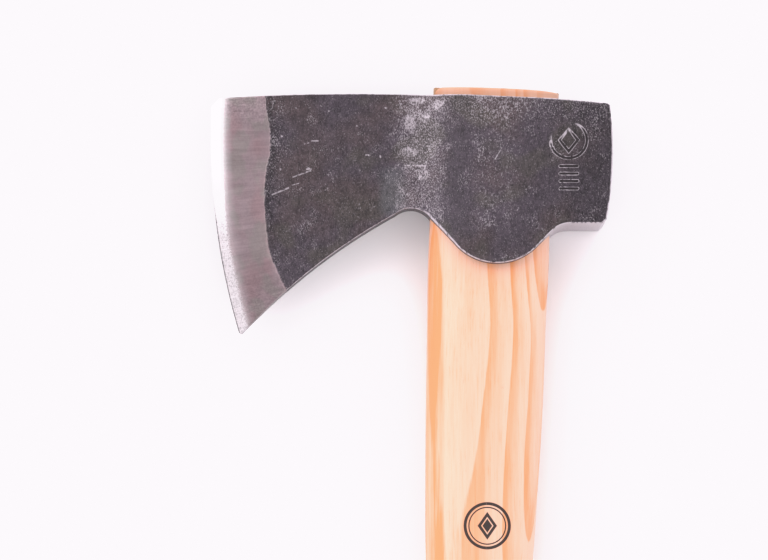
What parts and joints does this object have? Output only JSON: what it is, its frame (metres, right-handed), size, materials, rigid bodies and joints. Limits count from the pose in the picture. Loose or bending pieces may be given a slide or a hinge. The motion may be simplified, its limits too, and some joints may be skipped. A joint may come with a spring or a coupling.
{
  "type": "carving hatchet",
  "caption": "Carving hatchet: a bearded, forged steel head with a curved edge, wedged onto a curved hardwood haft, for hewing and shaping green wood.",
  "frame": {"origin": "on the plane that the lower cheek lies on, under the middle of the eye", "axes": "+X from the eye to the poll, so the cutting edge is on -X; +Y along the haft and out of the top of the head; +Z out of the upper cheek"},
  "size_m": [0.1401, 0.3402, 0.028],
  "materials": {
    "forged_steel": "black forge scale on the cheeks, ground bare steel at the edge and rims",
    "hickory": "smooth, oiled",
    "wedge_wood": "sawn end grain",
    "wedge_steel": "bare, hammered flush"
  },
  "bodies": {
    "root": {"head": "forged_steel", "haft": "hickory", "eye_wedge": "wedge_wood", "steel_wedge": "wedge_steel"}
  },
  "joints": []
}
